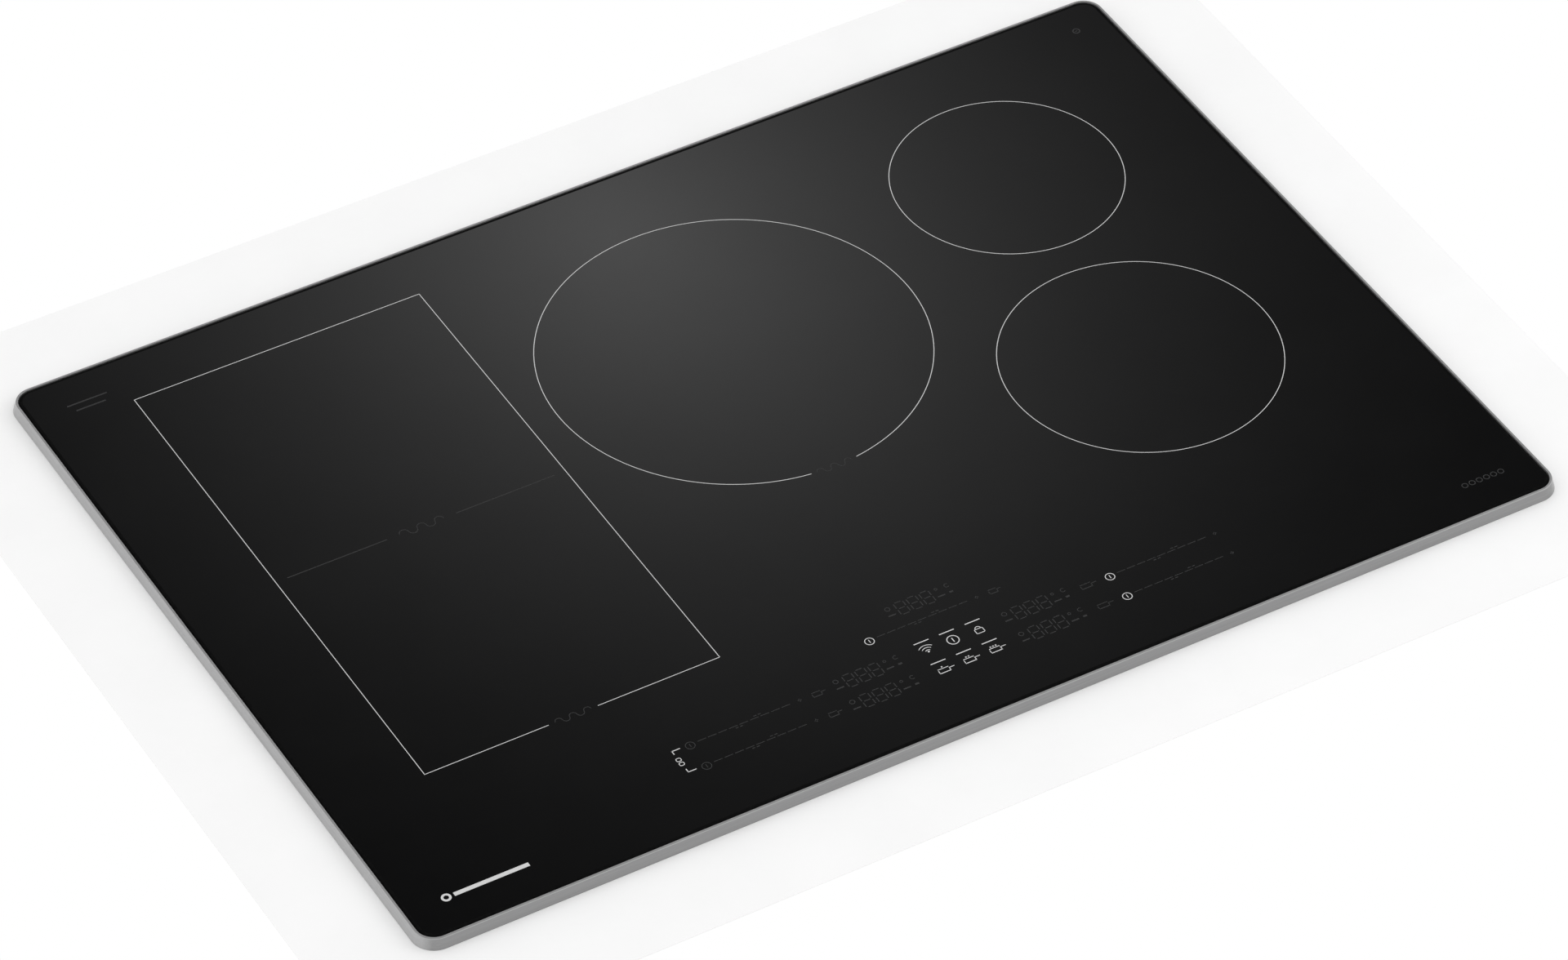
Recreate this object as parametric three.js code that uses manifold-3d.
// An induction cooktop for a worktop cut-out, thirty-inch size class, with a bridged left zone and three
// round zones, as it comes apart on a bench. Millimetres, +Z up. The origin is the centre of the burner
// box's underside, +X is to the right of somebody at the controls, and +Y is towards the wall behind.
import * as THREE from "three";
import { mergeVertices } from "three/addons/utils/BufferGeometryUtils.js";
import Module from "manifold-3d";

// ---- Driving dimensions ----

// Clearance between pieces that touch or are bonded.
const FIT = 0.3;

// Worktop level above the box's underside, and how far the rim reaches past the cut-out's edge.
const BOX_DROP = 88;
const OVERHANG_SIDE = 15.5;
const OVERHANG_FRONT = 21.8;
const CUTOUT_CLEARANCE = 8;

// Metal trim round the glass.
const TRIM_WIDTH = 783;
const TRIM_DEPTH = 545.6;
const TRIM_HEIGHT = 7.8;
const TRIM_CORNER = 15;
const TRIM_SLOPE = 2;
const TRIM_SKIRT = 2.6;
const LIP_WIDTH = 1.4;
const FLANGE_WALL = 1.2;
const LEG_WALL = 1.2;
const LEG_REACH = 16;

// Ceramic glass, its bonding bead and the foam strip that seals the rim to the worktop.
const GLASS_THICKNESS = 4;
const GLASS_SINK = 0.2;
const GLASS_GAP = 0.6;
const GLASS_BEVEL = 1;
const BEAD_THICKNESS = 0.7;
const BEAD_WIDTH = 10;
const BEAD_INSET = 2;
const SEAL_WIDTH = 9;
const SEAL_INSET = 1;

// Burner box of folded sheet, its vents and its conduit hole.
const SHEET = 1.2;
const BOX_CORNER = 6;
const BOX_RIM_DROP = 2;
const VENT_WIDTH = 4.5;
const VENT_PITCH = 9;
const VENT_HEIGHT = 24;
const VENT_BASE = 14;
const VENT_COUNT = 16;
const GRILLE_RADIUS = 42;

// Shield plates between the coils and the electronics.
const SHIELD_Z = 58;
const SHIELD_WALL = 1.5;
const SHIELD_MARGIN = 3;
const SHIELD_SPLIT_GAP = 2;
const SHIELD_LEG_GAP = 16;
const LEAD_HOLE = 8;

// Coils. Every coil is a winding on a carrier, under a mica sheet, with a sensor through its middle.
const MICA_THICKNESS = 1;
const MICA_EDGE = 1;
const MICA_HOLE = 11;
const WINDING_HEIGHT = 4.5;
const CARRIER_THICKNESS = 5;
const CARRIER_EDGE = 2.5;
const CARRIER_BOSS = 11;
const BOSS_REACH = 4;
const FERRITE_WIDTH = 12;
const FERRITE_DEPTH = 3;
const FERRITE_START = 22;
const FERRITE_END_WALL = 6;
const SENSOR_STEM = 5.5;
const SENSOR_CAP = 9;
const SENSOR_CAP_HEIGHT = 1.8;
const SENSOR_TAIL = 6;
const COIL_SPRING_BASE = 24;
const COIL_SPRING_TOP = 14.5;
const COIL_SPRING_WIRE = 1.1;
const COIL_SPRING_PITCH = 4.5;

// Zones: sizes of the windings, and their centres from the trim's left edge, right edge or middle.
const LEFT_FROM_EDGE = 165.8;
const LEFT_COIL_GAP = 7;
const LEFT_TOUCH_GAP = 6.7;
const LEFT_COIL_WIDTH = 184;
const LEFT_COIL_DEPTH = 176;
const LEFT_COIL_CORNER = 34;
const LEFT_COIL_EYE = 52;
const LEFT_EYE_CORNER = 16;
const CENTRE_X = 16.7;
const CENTRE_Y = 85.5;
const CENTRE_RADIUS = 114;
const CENTRE_SPLIT = 66;
const CENTRE_SPLIT_GAP = 6;
const REAR_FROM_EDGE = 143.3;
const REAR_Y = 142.3;
const REAR_RADIUS = 69;
const FRONT_FROM_EDGE = 160.6;
const FRONT_Y = -45;
const FRONT_RADIUS = 82;
const COIL_EYE = 24;

// Electronics modules, one at each side: tray with blower scroll, power board, heat sink and impeller.
const MODULE_GAP_SIDE = 18.8;
const MODULE_GAP_BACK = 9.8;
const TRAY_WIDTH = 214;
const TRAY_WALL = 2;
const TRAY_RIM = 10;
const TRAY_FRONT = 278;
const IMPELLER_RADIUS = 50;
const IMPELLER_LIFT = 6;
const IMPELLER_HEIGHT = 28;
const IMPELLER_WALL = 2;
const IMPELLER_EYE = 38;
const BLADE_COUNT = 14;
const BLADE_LENGTH = 14;
const BLADE_WALL = 1.6;
const BLADE_TILT = 25;
const HUB_RADIUS = 15;
const MOTOR_RADIUS = 12;
const SPIDER_WIDTH = 5;
const SCROLL_GAP = 8;
const SCROLL_MARGIN = 12;
const SCROLL_HEADROOM = 3;
const OUTLET_WIDTH = 70;
const BOARD_THICKNESS = 1.6;
const BOARD_LIFT = 7;
const BOARD_EDGE = 6;
const BOARD_GAP = 14;
const SINK_WIDTH = 64;
const SINK_LENGTH = 150;
const SINK_BASE = 4;
const SINK_HEIGHT = 30;
const SINK_LIFT = 3;
const FIN_COUNT = 9;
const FIN_WALL = 2;

// Filter board, terminal block and conduit inlet at the back.
const FILTER_X = 10;
const FILTER_WIDTH = 150;
const FILTER_DEPTH = 165;
const FILTER_FROM_BACK = 165;
const POST_RADIUS = 4;
const POST_INSET = 8;
const INLET_FROM_MODULE = 74;
const INLET_Z = 30;
const INLET_BORE = 8.5;
const INLET_SLEEVE = 11;
const INLET_FLANGE = 16;
const INLET_FLANGE_WALL = 3;
const INLET_NUT_WALL = 5;
const TERMINAL_WIDTH = 72;
const TERMINAL_DEPTH = 30;
const TERMINAL_HEIGHT = 26;
const TERMINAL_FROM_BACK = 42;
const POLE_COUNT = 4;
const POLE_RADIUS = 4;
const POLE_DEPTH = 8;

// Touch control under the glass at the front.
const TOUCH_X = -5;
const TOUCH_FROM_FRONT = 78.3;
const TOUCH_WIDTH = 396;
const TOUCH_DEPTH = 82;
const TOUCH_WALL = 2;
const TOUCH_FLOOR = 10;
const DISPLAY_WALL = 1.5;
const RADIO_WIDTH = 36;
const RADIO_DEPTH = 26;
const RADIO_GAP = 6;
const TOUCH_SPRING_REACH = 150;
const TOUCH_SPRING_RADIUS = 8;
const TOUCH_SPRING_WIRE = 0.8;
const TOUCH_SPRING_PITCH = 3.5;

// Hold-down brackets at the sides, each with a clamp screw that pushes a pad up against the worktop.
const BRACKET_WALL = 2;
const BRACKET_WIDTH = 40;
const BRACKET_Z = 34;
const BRACKET_TOP_GAP = 12;
const BRACKET_TIP_GAP = 0.5;
const SCREW_RADIUS = 3;
const SCREW_LENGTH = 34;
const SCREW_HEAD_RADIUS = 5.5;
const SCREW_HEAD_HEIGHT = 5;
const SCREW_HEAD_DROP = 16;
const SCREW_FROM_EDGE = 8;
const WELD_NUT_HEIGHT = 5;
const WELD_NUT_RADIUS = 5.5;
const PAD_RADIUS = 6;
const PAD_HEIGHT = 6;
const PAD_SOCKET = 4;

// Screws that tie the trim's leg to the burner box.
const TIE_SCREW_X = 300;
const TIE_SCREW_DROP = 9;
const TIE_SCREW_RADIUS = 2;
const TIE_HEAD_RADIUS = 4;
const TIE_HEAD_HEIGHT = 2.4;
const TIE_SHANK = 9;

// How finely round shapes are stepped, per quarter turn.
const CORNER_STEPS = 6;
const COIL_STEPS = 8;
const SMALL_STEPS = 3;

// ---- Places that follow from the driving dimensions ----

const trimTop = BOX_DROP + TRIM_HEIGHT;
const glassTop = trimTop - GLASS_SINK;
const glassBottom = glassTop - GLASS_THICKNESS;
const beadTop = glassBottom - FIT;
const beadBottom = beadTop - BEAD_THICKNESS;
const flangeTop = beadBottom - FIT;
const flangeBottom = flangeTop - FLANGE_WALL;
const sealTop = flangeBottom - FIT;

const boxWidth = TRIM_WIDTH - 2 * (OVERHANG_SIDE + CUTOUT_CLEARANCE);
const boxDepth = TRIM_DEPTH - 2 * (OVERHANG_FRONT + CUTOUT_CLEARANCE);
const boxTop = BOX_DROP - BOX_RIM_DROP;
const roomX = boxWidth / 2 - SHEET;
const roomY = boxDepth / 2 - SHEET;
const floorZ = SHEET + FIT;
const shieldTop = SHIELD_Z + SHIELD_WALL;

const micaTop = glassBottom - FIT;
const micaBottom = micaTop - MICA_THICKNESS;
const windingTop = micaBottom - FIT;
const windingBottom = windingTop - WINDING_HEIGHT;
const carrierTop = windingBottom - FIT;
const carrierBottom = carrierTop - CARRIER_THICKNESS;

const moduleX = roomX - MODULE_GAP_SIDE - TRAY_WIDTH / 2;
const scrollInner = IMPELLER_RADIUS + SCROLL_GAP;
const trayBack = scrollInner + TRAY_WALL + SCROLL_MARGIN;
const fanY = roomY - MODULE_GAP_BACK - trayBack;
const inletX = moduleX - TRAY_WIDTH / 2 - INLET_FROM_MODULE;
const touchY = TOUCH_FROM_FRONT - TRIM_DEPTH / 2;
const tieScrewZ = BOX_DROP - TIE_SCREW_DROP;

const leftX = LEFT_FROM_EDGE - TRIM_WIDTH / 2;
const leftPitch = LEFT_COIL_DEPTH + 2 * CARRIER_EDGE + LEFT_COIL_GAP;
const leftCoilStart = touchY + TOUCH_DEPTH / 2 + TOUCH_WALL + FIT + LEFT_TOUCH_GAP;
const leftFrontY = leftCoilStart + CARRIER_EDGE + LEFT_COIL_DEPTH / 2;
const leftRearY = leftFrontY + leftPitch;
const rearX = TRIM_WIDTH / 2 - REAR_FROM_EDGE;
const frontX = TRIM_WIDTH / 2 - FRONT_FROM_EDGE;
const splitX = TRAY_WIDTH / 2 - moduleX + SHIELD_LEG_GAP + SHIELD_WALL + SHIELD_SPLIT_GAP / 2;

// ---- Solids ----

const wasm = await Module();
wasm.setup();

function solid(geometry) {
  geometry.deleteAttribute("normal");
  geometry.deleteAttribute("uv");
  const merged = mergeVertices(geometry, 1e-4);
  const vertProperties = merged.getAttribute("position").array;
  const triVerts = new Uint32Array(merged.index.array);
  return new wasm.Manifold(new wasm.Mesh({ numProp: 3, vertProperties, triVerts }));
}

function geometryOf(body) {
  const mesh = body.getMesh();
  const indexed = new THREE.BufferGeometry();
  indexed.setAttribute("position", new THREE.BufferAttribute(mesh.vertProperties, 3));
  indexed.setIndex(new THREE.BufferAttribute(mesh.triVerts, 1));
  const geometry = indexed.toNonIndexed();
  geometry.computeVertexNormals();
  return geometry;
}

const join = (bodies) => bodies.reduce((whole, body) => whole.add(body));
const cut = (body, tools) => tools.reduce((rest, tool) => rest.subtract(tool), body);

// Outlines drawn in the XY plane.
function circle(radius, x = 0, y = 0) {
  const shape = new THREE.Shape();
  shape.absarc(x, y, radius, 0, 2 * Math.PI);
  shape.quarters = 4;
  return shape;
}

function panel(width, depth, corner, x = 0, y = 0) {
  const shape = new THREE.Shape();
  const right = x + width / 2 - corner;
  const left = x - width / 2 + corner;
  const back = y + depth / 2 - corner;
  const front = y - depth / 2 + corner;
  shape.absarc(right, back, corner, 0, Math.PI / 2);
  shape.absarc(left, back, corner, Math.PI / 2, Math.PI);
  shape.absarc(left, front, corner, Math.PI, 1.5 * Math.PI);
  shape.absarc(right, front, corner, 1.5 * Math.PI, 2 * Math.PI);
  shape.quarters = 1;
  return shape;
}

// The number of curve steps that three.js takes is half the number of chords in an arc.
const curveSegments = (shape, steps) => (shape.quarters * steps) / 2;

function slab(shape, z0, z1, steps = CORNER_STEPS) {
  const options = { depth: z1 - z0, bevelEnabled: false, curveSegments: curveSegments(shape, steps) };
  return solid(new THREE.ExtrudeGeometry(shape, options).translate(0, 0, z0));
}

function block(x0, x1, y0, y1, z0, z1) {
  const geometry = new THREE.BoxGeometry(x1 - x0, y1 - y0, z1 - z0);
  return solid(geometry.translate((x0 + x1) / 2, (y0 + y1) / 2, (z0 + z1) / 2));
}

// A box centred on x and y that stands on z0.
const brick = (x, y, width, depth, z0, height) =>
  block(x - width / 2, x + width / 2, y - depth / 2, y + depth / 2, z0, z0 + height);

const rod = (radius, z0, z1, x = 0, y = 0, steps = SMALL_STEPS) => slab(circle(radius, x, y), z0, z1, steps);

// A round solid whose axis runs along Y. Its profile of [radius, y] points closes on itself or the axis.
function turnedAlongY(profile, x, z, chords) {
  const points = profile.map(([radius, y]) => new THREE.Vector2(radius, y));
  return solid(new THREE.LatheGeometry(points, chords).translate(x, 0, z));
}

// A solid of one outline of [x, z] points, drawn from y0 to y1.
function drawnAlongY(outline, y0, y1) {
  const shape = new THREE.Shape(outline.map(([x, z]) => new THREE.Vector2(x, z)));
  const geometry = new THREE.ExtrudeGeometry(shape, { depth: y1 - y0, bevelEnabled: false });
  return solid(geometry.rotateX(Math.PI / 2).translate(0, y1, 0));
}

class ConeHelix extends THREE.Curve {
  constructor(base, top, z0, z1, turns) {
    super();
    Object.assign(this, { base, top, z0, z1, turns });
  }

  getPoint(t, target = new THREE.Vector3()) {
    const angle = 2 * Math.PI * this.turns * t;
    const radius = THREE.MathUtils.lerp(this.base, this.top, t);
    const z = THREE.MathUtils.lerp(this.z0, this.z1, t);
    return target.set(radius * Math.cos(angle), radius * Math.sin(angle), z);
  }
}

const SPRING_STEPS_PER_TURN = 8;
const WIRE_SIDES = 5;

// A compression spring between two seats, in whole turns of about the pitch.
function spring(base, top, wire, seat, roof, pitch) {
  const ends = wire + FIT;
  const turns = Math.round((roof - seat - 2 * ends) / pitch);
  const path = new ConeHelix(base, top, seat + ends, roof - ends, turns);
  const corners = Array.from({ length: WIRE_SIDES }, (_, i) => {
    const angle = (2 * Math.PI * i) / WIRE_SIDES;
    return new THREE.Vector2(wire * Math.cos(angle), wire * Math.sin(angle));
  });
  const steps = turns * SPRING_STEPS_PER_TURN;
  const options = { steps, extrudePath: path, bevelEnabled: false };
  return solid(new THREE.ExtrudeGeometry(new THREE.Shape(corners), options));
}

// ---- Finishes ----

const finish = (color, roughness, metalness) =>
  new THREE.MeshStandardMaterial({ color, roughness, metalness });

const FINISHES = {
  blackGlass: finish(0x0c0c0d, 0.12, 0),
  brushedTrim: finish(0xb4b6b8, 0.38, 1),
  silicone: finish(0x121212, 0.7, 0),
  foam: finish(0x2a2a2b, 0.95, 0),
  zincSheet: finish(0x9da1a4, 0.45, 1),
  aluminium: finish(0xc3c6c9, 0.4, 1),
  darkMoulding: finish(0x26272a, 0.6, 0),
  copper: finish(0xb56b3a, 0.4, 1),
  mica: finish(0xb7a27c, 0.75, 0),
  ceramic: finish(0xd9d4c8, 0.6, 0),
  springSteel: finish(0x83878b, 0.3, 1),
  circuitBoard: finish(0x2d6b3d, 0.5, 0),
  paleMoulding: finish(0xd6d4cc, 0.55, 0),
  rubberPad: finish(0x1c1c1c, 0.85, 0),
};

const cooktop = new THREE.Group();

function addPiece(name, body, material, parent = cooktop) {
  const mesh = new THREE.Mesh(geometryOf(body), material);
  mesh.name = name;
  parent.add(mesh);
}

function subassembly(x, y, turn = 0) {
  const group = new THREE.Group();
  group.position.set(x, y, 0);
  group.rotation.z = turn;
  cooktop.add(group);
  return group;
}

// ---- Glass, trim and seals ----

// The trim's outline at a distance inside its lower outer edge.
const trimOutline = (inset) =>
  panel(TRIM_WIDTH - 2 * inset, TRIM_DEPTH - 2 * inset, Math.max(TRIM_CORNER - inset, BOX_CORNER));

const boxOutline = (grow) => panel(boxWidth + 2 * grow, boxDepth + 2 * grow, BOX_CORNER + grow);

// The rim's solid block, its side faces leaning in by TRIM_SLOPE from bottom to top.
function slopedRim() {
  const top = trimOutline(TRIM_SLOPE);
  const options = {
    depth: SHEET,
    bevelThickness: TRIM_HEIGHT,
    bevelSize: TRIM_SLOPE,
    bevelSegments: 1,
    curveSegments: curveSegments(top, CORNER_STEPS),
  };
  const doubleCone = solid(new THREE.ExtrudeGeometry(top, options).translate(0, 0, BOX_DROP - SHEET));
  return doubleCone.intersect(brick(0, 0, 2 * TRIM_WIDTH, 2 * TRIM_DEPTH, BOX_DROP, TRIM_HEIGHT));
}

function tieScrewHoles() {
  const half = TRIM_DEPTH / 2;
  const radius = TIE_SCREW_RADIUS + FIT;
  return [-TIE_SCREW_X, TIE_SCREW_X].map((x) =>
    turnedAlongY([[0, -half], [radius, -half], [radius, half], [0, half]], x, tieScrewZ, 2 * SMALL_STEPS));
}

function trimFrame() {
  const outerLeg = slab(boxOutline(FIT + LEG_WALL), BOX_DROP - LEG_REACH, flangeTop, SMALL_STEPS);
  const rim = cut(slopedRim(), [
    slab(trimOutline(TRIM_SLOPE + LIP_WIDTH), flangeTop, trimTop + 1),
    slab(trimOutline(TRIM_SKIRT), BOX_DROP - 1, flangeBottom),
  ]);
  const throat = slab(boxOutline(FIT), BOX_DROP - LEG_REACH - 1, trimTop + 1, SMALL_STEPS);
  return cut(rim.add(outerLeg), [throat, ...tieScrewHoles()]);
}

function glassTopPlate() {
  const outline = trimOutline(TRIM_SLOPE + LIP_WIDTH + GLASS_GAP + GLASS_BEVEL);
  const options = {
    depth: GLASS_THICKNESS - 2 * GLASS_BEVEL,
    bevelThickness: GLASS_BEVEL,
    bevelSize: GLASS_BEVEL,
    bevelSegments: 2,
    curveSegments: curveSegments(outline, CORNER_STEPS),
  };
  return solid(new THREE.ExtrudeGeometry(outline, options).translate(0, 0, glassBottom + GLASS_BEVEL));
}

// A flat strip that follows the trim, from one inset to another.
const trimStrip = (inset, width, z0, z1) =>
  slab(trimOutline(inset), z0, z1).subtract(slab(trimOutline(inset + width), z0 - 1, z1 + 1));

addPiece("trim_frame", trimFrame(), FINISHES.brushedTrim);
addPiece("glass_top", glassTopPlate(), FINISHES.blackGlass);
const beadStart = TRIM_SLOPE + LIP_WIDTH + BEAD_INSET;
addPiece("glass_bonding_bead", trimStrip(beadStart, BEAD_WIDTH, beadBottom, beadTop), FINISHES.silicone);
const sealStart = TRIM_SKIRT + SEAL_INSET;
addPiece("worktop_seal", trimStrip(sealStart, SEAL_WIDTH, BOX_DROP, sealTop), FINISHES.foam);

// ---- Burner box ----

// Slots of a round air inlet under a blower.
function inletGrille(x) {
  const rows = Math.floor(GRILLE_RADIUS / VENT_PITCH);
  return Array.from({ length: 2 * rows + 1 }, (_, i) => {
    const offset = (i - rows) * VENT_PITCH;
    const length = 2 * Math.sqrt(GRILLE_RADIUS ** 2 - offset ** 2);
    return brick(x + offset, fanY, VENT_WIDTH, length, -1, SHEET + 2);
  });
}

// Slots of an air outlet in the front wall.
const outletSlots = (x) =>
  Array.from({ length: VENT_COUNT }, (_, i) => {
    const offset = (i - (VENT_COUNT - 1) / 2) * VENT_PITCH;
    return brick(x + offset, -boxDepth / 2, VENT_WIDTH, 4 * SHEET, VENT_BASE, VENT_HEIGHT);
  });

function burnerBox() {
  const hollow = slab(boxOutline(-SHEET), SHEET, boxTop + 1, SMALL_STEPS);
  const shell = slab(boxOutline(0), 0, boxTop, SMALL_STEPS).subtract(hollow);
  const back = boxDepth / 2;
  const radius = INLET_SLEEVE + FIT;
  const hole = [[0, back - 2 * SHEET], [radius, back - 2 * SHEET], [radius, back + SHEET], [0, back + SHEET]];
  const vents = [-moduleX, moduleX].flatMap((x) => [...inletGrille(x), ...outletSlots(x)]);
  return cut(shell, [...vents, turnedAlongY(hole, inletX, INLET_Z, 4 * SMALL_STEPS), ...tieScrewHoles()]);
}

addPiece("burner_box", burnerBox(), FINISHES.zincSheet);

// ---- Shield plates ----

// A plate on two folded legs that stand on the box's floor, with a lead hole under each coil.
function shieldPlate(x0, x1, holes) {
  const y1 = roomY - SHIELD_MARGIN;
  const plate = drawnAlongY([
    [x0, floorZ],
    [x0 + SHIELD_WALL, floorZ],
    [x0 + SHIELD_WALL, SHIELD_Z],
    [x1 - SHIELD_WALL, SHIELD_Z],
    [x1 - SHIELD_WALL, floorZ],
    [x1, floorZ],
    [x1, shieldTop],
    [x0, shieldTop],
  ], -y1, y1);
  return cut(plate, holes.map(([x, y]) => rod(LEAD_HOLE, SHIELD_Z - 1, shieldTop + 1, x, y)));
}

const leftHoles = [[leftX, leftFrontY], [leftX, leftRearY]];
const rightHoles = [[CENTRE_X, CENTRE_Y], [rearX, REAR_Y], [frontX, FRONT_Y]];
const shieldEnd = roomX - SHIELD_MARGIN;
const splitHalf = SHIELD_SPLIT_GAP / 2;
addPiece("shield_plate_left", shieldPlate(-shieldEnd, splitX - splitHalf, leftHoles), FINISHES.aluminium);
addPiece("shield_plate_right", shieldPlate(splitX + splitHalf, shieldEnd, rightHoles), FINISHES.aluminium);

// ---- Coils ----

const roundOutline = (radius) => (grow) => circle(radius + grow);
const leftOutline = (grow) =>
  panel(LEFT_COIL_WIDTH + 2 * grow, LEFT_COIL_DEPTH + 2 * grow, LEFT_COIL_CORNER + grow);
const leftEye = () => panel(LEFT_COIL_EYE, LEFT_COIL_EYE, LEFT_EYE_CORNER);

// Pockets for six ferrite bars, open at the carrier's underside.
function ferritePockets(reach) {
  const length = reach - FERRITE_END_WALL - FERRITE_START;
  return Array.from({ length: 6 }, (_, i) => {
    const geometry = new THREE.BoxGeometry(length, FERRITE_WIDTH, 2 * FERRITE_DEPTH);
    geometry.translate(FERRITE_START + length / 2, 0, carrierBottom);
    return solid(geometry.rotateZ((i * Math.PI) / 3));
  });
}

function coilCarrier(outline, reach) {
  const plate = slab(outline(CARRIER_EDGE), carrierBottom, carrierTop, COIL_STEPS);
  const boss = rod(CARRIER_BOSS, carrierBottom - BOSS_REACH, carrierTop);
  const bore = rod(SENSOR_STEM + FIT, 0, glassTop);
  return cut(plate.add(boss), [...ferritePockets(reach), bore]);
}

const windingRing = (outer, inner) =>
  slab(outer, windingBottom, windingTop, COIL_STEPS)
    .subtract(slab(inner, windingBottom - 1, windingTop + 1, COIL_STEPS));

function sensor() {
  const capBottom = micaTop - SENSOR_CAP_HEIGHT;
  const stemBottom = carrierBottom - BOSS_REACH - SENSOR_TAIL;
  return rod(SENSOR_STEM, stemBottom, micaTop).add(rod(SENSOR_CAP, capBottom, micaTop));
}

const micaSheet = (outline) =>
  slab(outline(MICA_EDGE), micaBottom, micaTop, COIL_STEPS)
    .subtract(rod(MICA_HOLE, micaBottom - 1, micaTop + 1));

function addCoil({ zone, x, y, outline, reach, windings }) {
  const coil = subassembly(x, y);
  addPiece(`coil_carrier_${zone}`, coilCarrier(outline, reach), FINISHES.darkMoulding, coil);
  windings.forEach(([name, outer, inner]) =>
    addPiece(`${name}_${zone}`, windingRing(outer, inner), FINISHES.copper, coil));
  addPiece(`mica_sheet_${zone}`, micaSheet(outline), FINISHES.mica, coil);
  addPiece(`temperature_sensor_${zone}`, sensor(), FINISHES.ceramic, coil);
  const support = spring(
    COIL_SPRING_BASE, COIL_SPRING_TOP, COIL_SPRING_WIRE, shieldTop, carrierBottom, COIL_SPRING_PITCH);
  addPiece(`coil_spring_${zone}`, support, FINISHES.springSteel, coil);
}

function leftCoil(zone, y) {
  const reach = LEFT_COIL_DEPTH / 2;
  const windings = [["coil_winding", leftOutline(0), leftEye()]];
  return { zone, x: leftX, y, outline: leftOutline, reach, windings };
}

function roundCoil(zone, x, y, radius) {
  const windings = [["coil_winding", circle(radius), circle(COIL_EYE)]];
  return { zone, x, y, outline: roundOutline(radius), reach: radius, windings };
}

const centreCoil = {
  zone: "centre",
  x: CENTRE_X,
  y: CENTRE_Y,
  outline: roundOutline(CENTRE_RADIUS),
  reach: CENTRE_RADIUS,
  windings: [
    ["coil_winding", circle(CENTRE_RADIUS), circle(CENTRE_SPLIT)],
    ["inner_winding", circle(CENTRE_SPLIT - CENTRE_SPLIT_GAP), circle(COIL_EYE)],
  ],
};

[
  leftCoil("left_front", leftFrontY),
  leftCoil("left_rear", leftRearY),
  centreCoil,
  roundCoil("right_rear", rearX, REAR_Y, REAR_RADIUS),
  roundCoil("right_front", frontX, FRONT_Y, FRONT_RADIUS),
].forEach(addCoil);

// ---- Electronics modules ----

const trayBase = floorZ;
const impellerBottom = trayBase + TRAY_WALL + IMPELLER_LIFT;
const impellerTop = impellerBottom + IMPELLER_HEIGHT;
const boardBottom = trayBase + TRAY_WALL + BOARD_LIFT;
const boardTop = boardBottom + BOARD_THICKNESS;
const boardBack = -scrollInner - BOARD_GAP;
const boardFront = -TRAY_FRONT + TRAY_WALL + BOARD_EDGE;

// The module's origin is its blower's axis. The tray holds the scroll, the motor and its three-arm spider.
function electronicsTray() {
  const middleY = (trayBack - TRAY_FRONT) / 2;
  const length = trayBack + TRAY_FRONT;
  const inside = trayBase + TRAY_WALL;
  const outer = brick(0, middleY, TRAY_WIDTH, length, trayBase, TRAY_RIM);
  const inner = brick(0, middleY, TRAY_WIDTH - 2 * TRAY_WALL, length - 2 * TRAY_WALL, inside, TRAY_RIM);
  const scrollTop = impellerTop + SCROLL_HEADROOM;
  const wall = rod(scrollInner + TRAY_WALL, trayBase, scrollTop, 0, 0, CORNER_STEPS)
    .subtract(rod(scrollInner, inside, scrollTop + 1, 0, 0, CORNER_STEPS));
  const outlet = brick(0, -scrollInner, OUTLET_WIDTH, scrollInner, inside, scrollTop);
  const eye = rod(IMPELLER_EYE, trayBase - 1, inside + 1, 0, 0, CORNER_STEPS);
  const spider = Array.from({ length: 3 }, (_, i) => {
    const arm = new THREE.BoxGeometry(IMPELLER_EYE + 2 * TRAY_WALL, SPIDER_WIDTH, TRAY_WALL);
    arm.translate(IMPELLER_EYE / 2, 0, trayBase + TRAY_WALL / 2);
    return solid(arm.rotateZ(((2 * i + 0.5) * Math.PI) / 3));
  });
  const motor = rod(MOTOR_RADIUS, trayBase, impellerBottom + IMPELLER_LIFT - 1);
  const tray = cut(outer.subtract(inner).add(wall), [outlet, eye]);
  return join([tray, ...spider, motor, ...boardPosts()]);
}

function boardPosts() {
  const x = TRAY_WIDTH / 2 - TRAY_WALL - BOARD_EDGE - POST_INSET;
  const ys = [boardFront + POST_INSET, boardBack - POST_INSET];
  return ys.flatMap((y) =>
    [-x, x].map((postX) => rod(POST_RADIUS, trayBase, boardBottom - FIT, postX, y)));
}

function impeller() {
  const disc = rod(IMPELLER_RADIUS, impellerTop - IMPELLER_WALL, impellerTop, 0, 0, CORNER_STEPS);
  const hub = rod(HUB_RADIUS, impellerBottom + IMPELLER_LIFT, impellerTop);
  const ring = rod(IMPELLER_RADIUS, impellerBottom, impellerBottom + IMPELLER_WALL, 0, 0, CORNER_STEPS)
    .subtract(rod(IMPELLER_EYE, impellerBottom - 1, impellerTop, 0, 0, CORNER_STEPS));
  const blades = Array.from({ length: BLADE_COUNT }, (_, i) => {
    const blade = new THREE.BoxGeometry(BLADE_LENGTH, BLADE_WALL, IMPELLER_HEIGHT - IMPELLER_WALL);
    blade.rotateZ(THREE.MathUtils.degToRad(BLADE_TILT));
    blade.translate(IMPELLER_RADIUS - BLADE_LENGTH / 2, 0, (impellerBottom + impellerTop) / 2);
    return solid(blade.rotateZ((2 * Math.PI * i) / BLADE_COUNT));
  });
  return join([disc, hub, ring, ...blades]);
}

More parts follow.
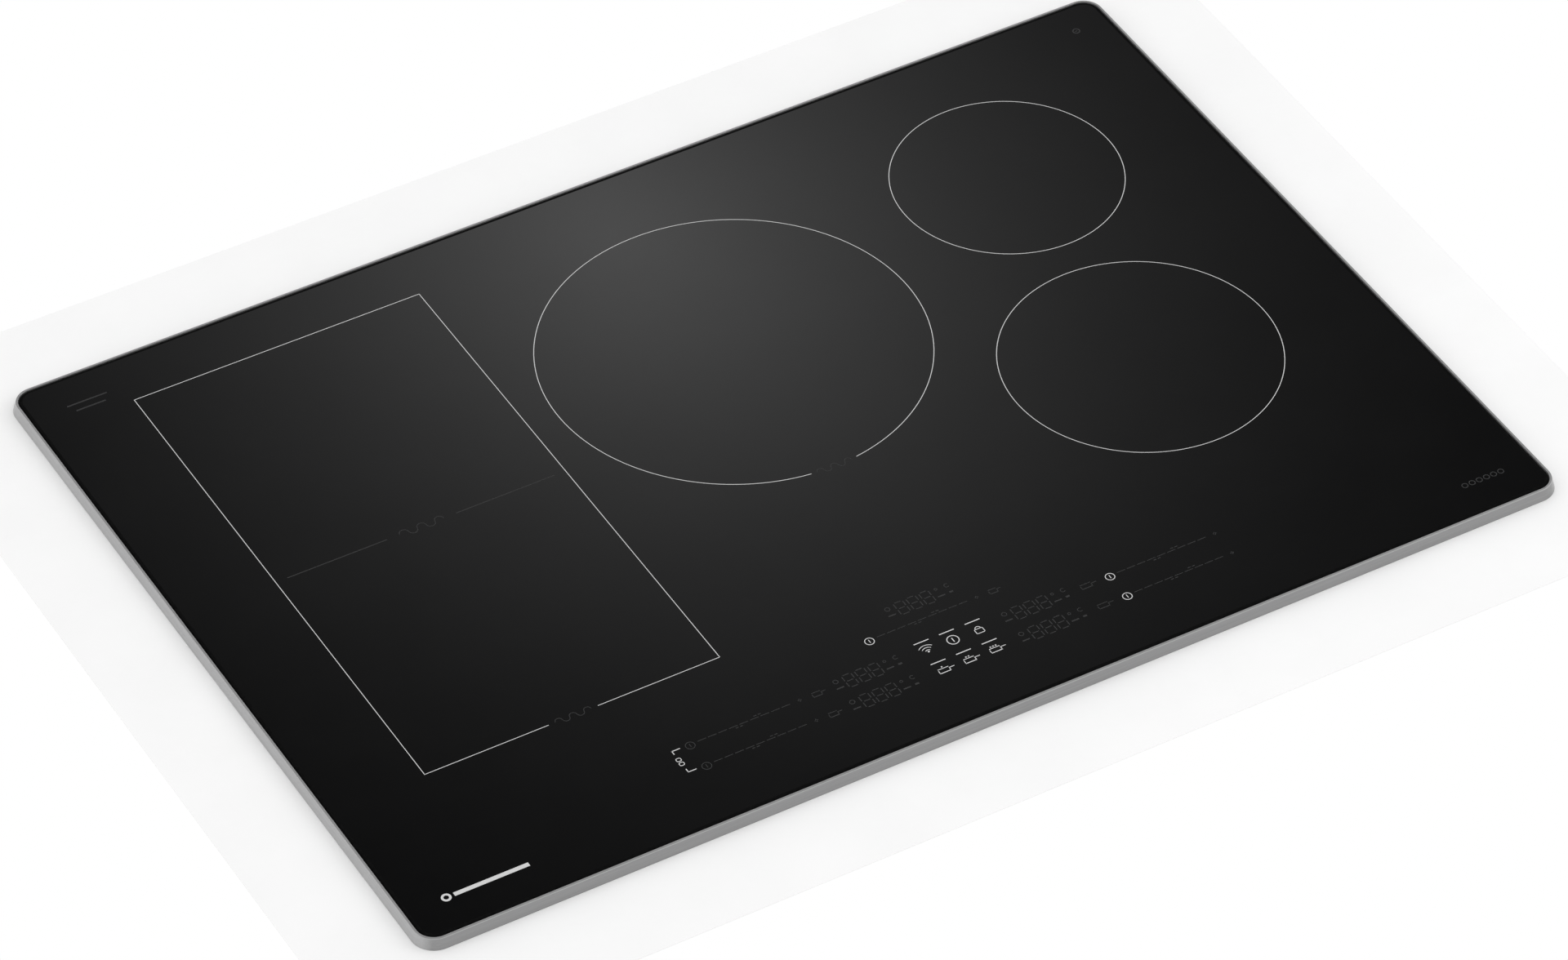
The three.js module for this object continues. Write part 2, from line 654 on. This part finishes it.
// Parts on a power board, in a row along each side edge:
// [-1 at the left edge or 1 at the right, gap from that edge, y behind the front edge, width, depth, height].
const POWER_PARTS = [
  [-1, 6, 28, 30, 30, 22],
  [-1, 6, 68, 30, 30, 22],
  [-1, 9, 108, 24, 32, 18],
  [-1, 4, 152, 34, 30, 30],
  [1, 10, 30, 26, 42, 26],
  [1, 9, 84, 28, 20, 16],
  [1, 9, 112, 28, 20, 16],
  [1, 8, 152, 34, 34, 28],
];

function powerBoard() {
  const width = TRAY_WIDTH - 2 * (TRAY_WALL + BOARD_EDGE);
  const board = block(-width / 2, width / 2, boardFront, boardBack, boardBottom, boardTop);
  const parts = POWER_PARTS.map(([edge, gap, y, w, d, h]) =>
    brick(edge * (width / 2 - gap - w / 2), boardFront + y, w, d, boardBottom, h));
  return join([board, ...parts]);
}

function heatSink() {
  const base = boardTop + SINK_LIFT;
  const comb = [[-SINK_WIDTH / 2, base], [SINK_WIDTH / 2, base]];
  const pitch = (SINK_WIDTH - FIN_WALL) / (FIN_COUNT - 1);
  for (let i = FIN_COUNT - 1; i >= 0; i -= 1) {
    const x = i * pitch - SINK_WIDTH / 2;
    const right = i === FIN_COUNT - 1 ? [] : [[x + FIN_WALL, base + SINK_BASE]];
    const left = i === 0 ? [] : [[x, base + SINK_BASE]];
    comb.push(...right, [x + FIN_WALL, base + SINK_HEIGHT], [x, base + SINK_HEIGHT], ...left);
  }
  const back = boardBack - BOARD_EDGE;
  return drawnAlongY(comb, back - SINK_LENGTH, back);
}

function addModule(side, x) {
  const module = subassembly(x, fanY);
  addPiece(`electronics_tray_${side}`, electronicsTray(), FINISHES.darkMoulding, module);
  addPiece(`power_board_${side}`, powerBoard(), FINISHES.circuitBoard, module);
  addPiece(`heat_sink_${side}`, heatSink(), FINISHES.aluminium, module);
  addPiece(`fan_impeller_${side}`, impeller(), FINISHES.darkMoulding, module);
}

addModule("left", -moduleX);
addModule("right", moduleX);

// ---- Filter board, terminal block and conduit inlet ----

// Parts on the filter board: [-1 at the left edge or 1 at the right, gap from it, y, width, depth, height].
const FILTER_PARTS = [
  [-1, 13, 46, 40, 22, 28],
  [-1, 13, 14, 40, 18, 24],
  [-1, 15, -38, 32, 44, 20],
  [1, 16, 52, 26, 26, 18],
  [1, 13, -50, 28, 22, 16],
];
const CHOKE_RADIUS = 21;
const CHOKE_HEIGHT = 24;
const CHOKE_GAP = 24;

function filterBoard() {
  const board = brick(0, 0, FILTER_WIDTH, FILTER_DEPTH, boardBottom, BOARD_THICKNESS);
  const parts = FILTER_PARTS.map(([edge, gap, y, w, d, h]) =>
    brick(edge * (FILTER_WIDTH / 2 - gap - w / 2), y, w, d, boardBottom, h));
  const chokeX = FILTER_WIDTH / 2 - CHOKE_GAP - CHOKE_RADIUS;
  const choke = rod(CHOKE_RADIUS, boardBottom, boardBottom + CHOKE_HEIGHT, chokeX, 0, CORNER_STEPS);
  const posts = [-1, 1].flatMap((i) => [-1, 1].map((j) => {
    const x = i * (FILTER_WIDTH / 2 - POST_INSET);
    const y = j * (FILTER_DEPTH / 2 - POST_INSET);
    return rod(POST_RADIUS, floorZ, boardTop, x, y);
  }));
  return join([board, ...parts, choke, ...posts]);
}

function terminalBlock() {
  const body = brick(0, 0, TERMINAL_WIDTH, TERMINAL_DEPTH, floorZ, TERMINAL_HEIGHT);
  const top = floorZ + TERMINAL_HEIGHT;
  const pitch = TERMINAL_WIDTH / POLE_COUNT;
  const poles = Array.from({ length: POLE_COUNT }, (_, i) =>
    rod(POLE_RADIUS, top - POLE_DEPTH, top + 1, (i - (POLE_COUNT - 1) / 2) * pitch, 0));
  return cut(body, poles);
}

function conduitInlet() {
  const outside = boxDepth / 2 + FIT;
  const inside = boxDepth / 2 - SHEET - FIT;
  return turnedAlongY([
    [INLET_BORE, inside - INLET_NUT_WALL],
    [INLET_FLANGE, inside - INLET_NUT_WALL],
    [INLET_FLANGE, inside],
    [INLET_SLEEVE, inside],
    [INLET_SLEEVE, outside],
    [INLET_FLANGE, outside],
    [INLET_FLANGE, outside + INLET_FLANGE_WALL],
    [INLET_BORE, outside + INLET_FLANGE_WALL],
    [INLET_BORE, inside - INLET_NUT_WALL],
  ], inletX, INLET_Z, 4 * SMALL_STEPS);
}

const filterPlace = subassembly(FILTER_X, boxDepth / 2 - FILTER_FROM_BACK);
addPiece("filter_board", filterBoard(), FINISHES.circuitBoard, filterPlace);
const terminalPlace = subassembly(inletX, boxDepth / 2 - TERMINAL_FROM_BACK);
addPiece("terminal_block", terminalBlock(), FINISHES.paleMoulding, terminalPlace);
addPiece("conduit_inlet", conduitInlet(), FINISHES.zincSheet);

// ---- Touch control ----

const touchTop = glassBottom - FIT;
const carrierFloorZ = touchTop - TOUCH_FLOOR - TOUCH_WALL;
const touchBoardZ = carrierFloorZ + TOUCH_WALL + FIT;
const carrierWidth = TOUCH_WIDTH + RADIO_GAP + RADIO_WIDTH + 2 * (TOUCH_WALL + RADIO_GAP);
const carrierDepth = TOUCH_DEPTH + 2 * (TOUCH_WALL + FIT);
const carrierLeft = -TOUCH_WIDTH / 2 - TOUCH_WALL - FIT;

function touchCarrier() {
  const x1 = carrierLeft + carrierWidth;
  const half = carrierDepth / 2;
  const shell = block(carrierLeft, x1, -half, half, carrierFloorZ, touchTop - 2);
  const hollow = block(
    carrierLeft + TOUCH_WALL, x1 - TOUCH_WALL, TOUCH_WALL - half, half - TOUCH_WALL,
    carrierFloorZ + TOUCH_WALL, touchTop);
  return shell.subtract(hollow);
}

// Light boxes on the board, under the displays, the keys and the two sliders: [x, y, width, depth].
const SLIDER_BOX = 78;
const SLIDER_BOX_INSET = 12;
const sliderX = TOUCH_WIDTH / 2 - SLIDER_BOX_INSET - SLIDER_BOX / 2;
const LIGHT_BOXES = [
  [4, 29, 48, 14],
  [-55, -9, 48, 14],
  [-55, -29, 48, 14],
  [63, -9, 48, 14],
  [63, -29, 48, 14],
  [4, -20, 52, 36],
  [-sliderX, -20, SLIDER_BOX, 34],
  [sliderX, -20, SLIDER_BOX, 34],
];

function touchBoard() {
  const board = brick(0, 0, TOUCH_WIDTH, TOUCH_DEPTH, touchBoardZ, BOARD_THICKNESS);
  const floor = touchBoardZ + BOARD_THICKNESS;
  const walls = 2 * DISPLAY_WALL;
  const boxes = LIGHT_BOXES.map(([x, y, width, depth]) => {
    const outer = brick(x, y, width, depth, touchBoardZ, touchTop - touchBoardZ);
    return outer.subtract(brick(x, y, width - walls, depth - walls, floor, TOUCH_FLOOR));
  });
  return join([board, ...boxes]);
}

function radioModule() {
  const x = TOUCH_WIDTH / 2 + RADIO_GAP + RADIO_WIDTH / 2;
  const board = brick(x, 0, RADIO_WIDTH, RADIO_DEPTH, touchBoardZ, BOARD_THICKNESS);
  return board.add(brick(x, 0, RADIO_WIDTH / 2, RADIO_DEPTH / 2, touchBoardZ, 2 * BOARD_THICKNESS));
}

const touchPlace = subassembly(TOUCH_X, touchY);
addPiece("touch_carrier", touchCarrier(), FINISHES.darkMoulding, touchPlace);
addPiece("touch_board", touchBoard(), FINISHES.circuitBoard, touchPlace);
addPiece("radio_module", radioModule(), FINISHES.circuitBoard, touchPlace);

[["left", -TOUCH_SPRING_REACH], ["right", TOUCH_SPRING_REACH]].forEach(([side, x]) => {
  const radius = TOUCH_SPRING_RADIUS;
  const support = spring(
    radius, radius, TOUCH_SPRING_WIRE, shieldTop, carrierFloorZ, TOUCH_SPRING_PITCH);
  addPiece(`touch_spring_${side}`, support, FINISHES.springSteel, subassembly(TOUCH_X + x, touchY));
});

// ---- Hold-down brackets ----

const clampX = TRIM_WIDTH / 2 - SCREW_FROM_EDGE;
const screwTop = BRACKET_Z - SCREW_HEAD_DROP + SCREW_LENGTH;
const bracketTop = BOX_DROP - LEG_REACH - BRACKET_TOP_GAP;

function holdDownBracket() {
  const wallX = boxWidth / 2 + FIT;
  const tipX = TRIM_WIDTH / 2 - BRACKET_TIP_GAP;
  const half = BRACKET_WIDTH / 2;
  const arm = block(wallX, tipX, -half, half, BRACKET_Z, BRACKET_Z + BRACKET_WALL);
  const plate = block(wallX, wallX + BRACKET_WALL, -half, half, BRACKET_Z, bracketTop);
  const nut = rod(WELD_NUT_RADIUS, BRACKET_Z, BRACKET_Z + BRACKET_WALL + WELD_NUT_HEIGHT, clampX, 0, 3);
  return cut(join([arm, plate, nut]), [rod(SCREW_RADIUS + FIT, 0, BOX_DROP, clampX)]);
}

function clampScrew() {
  const headTop = BRACKET_Z - SCREW_HEAD_DROP;
  const head = rod(SCREW_HEAD_RADIUS, headTop - SCREW_HEAD_HEIGHT, headTop, clampX, 0, 3);
  return head.add(rod(SCREW_RADIUS, headTop - 1, screwTop, clampX));
}

function clampPad() {
  const bottom = screwTop + FIT - PAD_SOCKET;
  const socket = rod(SCREW_RADIUS + FIT, bottom - 1, bottom + PAD_SOCKET, clampX);
  return rod(PAD_RADIUS, bottom, bottom + PAD_HEIGHT, clampX).subtract(socket);
}

[["right", 0], ["left", Math.PI]].forEach(([side, turn]) => {
  const clamp = subassembly(0, 0, turn);
  addPiece(`hold_down_bracket_${side}`, holdDownBracket(), FINISHES.zincSheet, clamp);
  addPiece(`clamp_screw_${side}`, clampScrew(), FINISHES.springSteel, clamp);
  addPiece(`clamp_pad_${side}`, clampPad(), FINISHES.rubberPad, clamp);
});

// ---- Screws between trim and box ----

function tieScrew(x) {
  const face = boxDepth / 2 + FIT + LEG_WALL + FIT;
  const end = face - TIE_SHANK;
  return turnedAlongY([
    [0, end],
    [TIE_SCREW_RADIUS, end],
    [TIE_SCREW_RADIUS, face],
    [TIE_HEAD_RADIUS, face],
    [TIE_HEAD_RADIUS, face + TIE_HEAD_HEIGHT],
    [0, face + TIE_HEAD_HEIGHT],
  ], x, tieScrewZ, 2 * SMALL_STEPS);
}

[["back", 0], ["front", Math.PI]].forEach(([end, turn]) => {
  const row = subassembly(0, 0, turn);
  addPiece(`tie_screw_${end}_1`, tieScrew(-TIE_SCREW_X), FINISHES.zincSheet, row);
  addPiece(`tie_screw_${end}_2`, tieScrew(TIE_SCREW_X), FINISHES.zincSheet, row);
});

export default cooktop;
